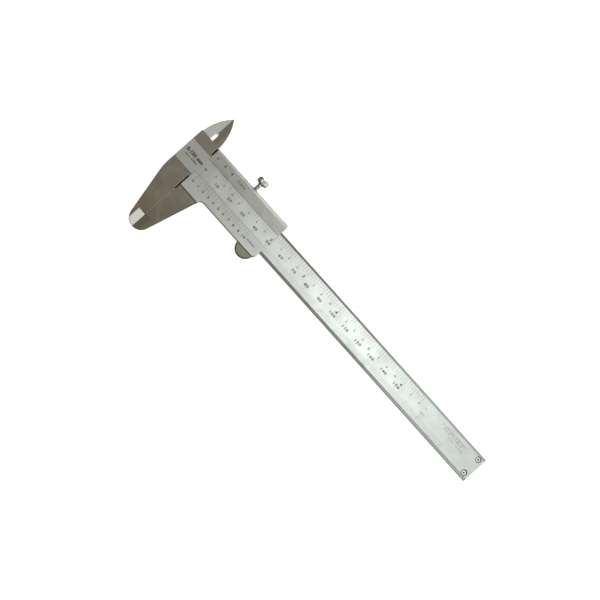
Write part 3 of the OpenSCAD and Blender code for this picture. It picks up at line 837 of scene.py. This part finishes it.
def buildMainScale():
    bm = bmesh.new()
    s = mainScale
    for i in range(s["lastMm"] + 1):
        end = s["mmEnds"][2 if i % 10 == 0 else 1 if i % 5 == 0 else 0]
        addLine(bm, s["zero"] + i, s["mmStart"], end, bandPlane)
    for i in range(0, s["lastMmNumber"] + 1, 10):
        y = s["mmNumberY"] if i else s["zeroNumberY"]
        addNumber(bm, i, s["zero"] + i, y, s["numberHeight"], bandPlane)
    for i in range(s["lastSixteenth"] + 1):
        inches, sixteenths = divmod(i, 16)
        kind = 3 if sixteenths == 0 else 2 if i % 4 == 0 else 1 if i % 2 == 0 else 0
        x = s["zero"] + i * s["inch"] / 16
        addLine(bm, x, s["inchStart"], s["inchEnds"][kind], bandPlane)
        if kind == 2:
            addText(bm, str(sixteenths), x, s["quarterY"], s["quarterHeight"], bandPlane, s["quarterBold"])
        elif kind == 3 and i:
            x += s["inchNumberShift"]
            addNumber(bm, inches, x, s["inchNumberY"], s["numberHeight"], bandPlane)
    addRows(bm, unitMarks, bandPlane)
    return meshFrom(bm, "mainScaleMarks")


def buildHeadMarks():
    # measuring range in place of the maker's lettering
    bm = bmesh.new()
    addRows(bm, headRows, bandPlane)
    return meshFrom(bm, "headMarks")


def buildEndMarks():
    bm = bmesh.new()
    addRows(bm, endRows, bandPlane)
    return meshFrom(bm, "endMarks")


# each scale's lines: start, end of a plain line, end of a numbered line
mmVernier = {
    "zero": 3.65,
    "step": 39 / 20,
    "count": 20,
    "numberedEvery": 2,
    "numberStep": 1,
    "lines": (-4.3, -6.6, -7.3),
    "numberY": -8.7,
    "numberHeight": 1.4,
    "unit": ("0.05mm", 47.8, -8.0, 1.15, 0.05),
}
inchVernier = {
    "zero": 3.65,
    "step": 25.4 * 7 / 16 / 8,
    "count": 8,
    "numberedEvery": 4,
    "numberStep": 4,
    "lines": (5.3, 7.0, 7.6),
    "numberY": 8.9,
    "numberHeight": 1.4,
    "unit": ("1/128 in.", 22.0, 8.7, 1.2, 0.04),
}


def buildVernierMarks():
    bm = bmesh.new()
    verniers = ((mmVernier, lowerPlane), (inchVernier, upperPlane))
    for scale, plane in verniers:
        start, plain, numbered = scale["lines"]
        for i in range(scale["count"] + 1):
            x = scale["zero"] + i * scale["step"]
            hasNumber = i % scale["numberedEvery"] == 0
            addLine(bm, x, start, numbered if hasNumber else plain, plane)
            if hasNumber:
                number = i // scale["numberedEvery"] * scale["numberStep"]
                addNumber(bm, number, x, scale["numberY"], scale["numberHeight"], plane)
    for scale, plane in verniers:
        addRows(bm, (scale["unit"],), plane)
    return meshFrom(bm, "vernierMarks")


for pieceName, build, body, ink in (
    ("scaleMarks", buildMainScale, "beam", darkInk),
    ("headMarks", buildHeadMarks, "beam", darkInk),
    ("endMarks", buildEndMarks, "beam", paleInk),
    ("vernierMarks", buildVernierMarks, "slider", darkInk),
):
    newPiece(pieceName, build(), body, ink)
print("scales ready")

# Knurled clamp screw, turned about its own axis
clampScrew = {
    "turns": 144,
    "knurls": 36,
    "knurlDepth": 0.14,
    "headThickness": 3.1,
    "rounding": 0.85,
    "roundingSteps": 8,
    "shank": 1.1,
    "tipChamfer": 0.35,
    "threadStart": 0.4,
    "threadDepth": 0.12,
    "threadPitch": 0.45,
    "stepsPerPitch": 6,
    "threadRelief": 0.3,  # bare shank between the thread and the cone
    "coneHeight": 0.7,
    "coneRadius": 2.5,
    "coneSteps": 6,
    "coneHollow": 1.6,
    "slotWidth": 1.5,
    "slotDepth": 0.6,
    "slotLength": 8.0,
    "crease": 35.0,
}


def screwProfile():
    # (distance along the axis, radius, share of knurl, share of thread)
    c = clampScrew
    length = (screwHigh.y - screwLow.y) / mm
    headR = (screwHigh.z - screwLow.z) / 2 / mm
    shank, chamfer = c["shank"], c["tipChamfer"]
    under = length - c["headThickness"]
    rings = [(0.0, 0.0, 0, 0), (0.0, shank - chamfer, 0, 0), (chamfer, shank, 0, 0)]
    threadEnd = under - c["coneHeight"] - c["threadRelief"]
    steps = int(threadEnd / c["threadPitch"] * c["stepsPerPitch"])
    for i in range(steps + 1):
        y = c["threadStart"] + (threadEnd - c["threadStart"]) * i / steps
        fade = min(1.0, i / 4, (steps - i) / 4)
        rings.append((y, shank, 0, fade))
    rings.append((threadEnd + 0.1, shank, 0, 0))
    for i in range(c["coneSteps"] + 1):
        t = i / c["coneSteps"]
        flare = (c["coneRadius"] - shank) * t ** c["coneHollow"]
        rings.append((under - c["coneHeight"] * (1 - t), shank + flare, 0, 0))
    r, corner = c["rounding"], c["roundingSteps"]
    for i in range(corner + 1):
        a = math.radians(90 * i / corner)
        knurl = max(0.0, 2 * i / corner - 1)
        rings.append((under + r * (1 - math.cos(a)), headR - r + r * math.sin(a), knurl, 0))
    rings.append((length - c["headThickness"] / 2, headR, 1, 0))
    for i in range(corner + 1):
        a = math.radians(90 * i / corner)
        knurl = max(0.0, 1 - 2 * i / corner)
        rings.append((length - r * (1 - math.sin(a)), headR - r + r * math.cos(a), knurl, 0))
    rings += [(length, (headR - r) * 0.5, 0, 0), (length, 0.0, 0, 0)]
    return rings


def buildClampScrew():
    c = clampScrew
    axisX, axisZ = (screwLow.x + screwHigh.x) / 2, (screwLow.z + screwHigh.z) / 2
    bm = bmesh.new()
    rows = []
    for distance, radius, knurl, thread in screwProfile():
        y = screwLow.y + distance * mm
        if radius == 0:
            rows.append([bm.verts.new((axisX, y, axisZ))])
            continue
        row = []
        for i in range(c["turns"]):
            a = 2 * math.pi * i / c["turns"]
            winding = 2 * math.pi * distance / c["threadPitch"] - a
            r = radius - knurl * c["knurlDepth"] * (0.5 - 0.5 * math.cos(c["knurls"] * a))
            r -= thread * c["threadDepth"] * (0.5 - 0.5 * math.cos(winding))
            row.append(bm.verts.new((axisX + r * mm * math.cos(a), y, axisZ + r * mm * math.sin(a))))
        rows.append(row)
    for lower, upper in zip(rows, rows[1:]):
        for i in range(c["turns"]):
            j = (i + 1) % c["turns"]
            ring = ((lower, i), (upper, i), (upper, j), (lower, j))
            corners = [row[k % len(row)] for row, k in ring]
            bm.faces.new(list(dict.fromkeys(corners)))
    for face in bm.faces:
        face.smooth = True
    return meshFrom(bm, "clampScrewBody")


def cutCoinSlot(piece):
    c = clampScrew
    width, depth, length = (c[size] * mm for size in ("slotWidth", "slotDepth", "slotLength"))
    bm = bmesh.new()
    bmesh.ops.create_cube(bm, size=1.0)
    for v in bm.verts:
        v.co.x = (screwLow.x + screwHigh.x) / 2 + v.co.x * width
        v.co.y = screwHigh.y + v.co.y * 2 * depth
        v.co.z = (screwLow.z + screwHigh.z) / 2 + v.co.z * length
    cutter = bpy.data.objects.new("coinSlotCutter", meshFrom(bm, "coinSlotCutter"))
    bpy.context.scene.collection.objects.link(cutter)
    cut = piece.modifiers.new("coinSlot", "BOOLEAN")
    cut.object = cutter
    cut.operation = "DIFFERENCE"
    cut.solver = "EXACT"
    shown = bpy.context.evaluated_depsgraph_get()
    finished = bpy.data.meshes.new_from_object(piece.evaluated_get(shown))
    piece.modifiers.clear()
    piece.data = finished
    bpy.data.objects.remove(cutter)


clampPiece = newPiece("knurledClampScrew", buildClampScrew(), "clamp_screw", steels["brightChrome"])
cutCoinSlot(clampPiece)
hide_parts("clamp_screw")
crease = clampPiece.modifiers.new("crease", "EDGE_SPLIT")
crease.split_angle = math.radians(clampScrew["crease"])
print("clamp screw ready")
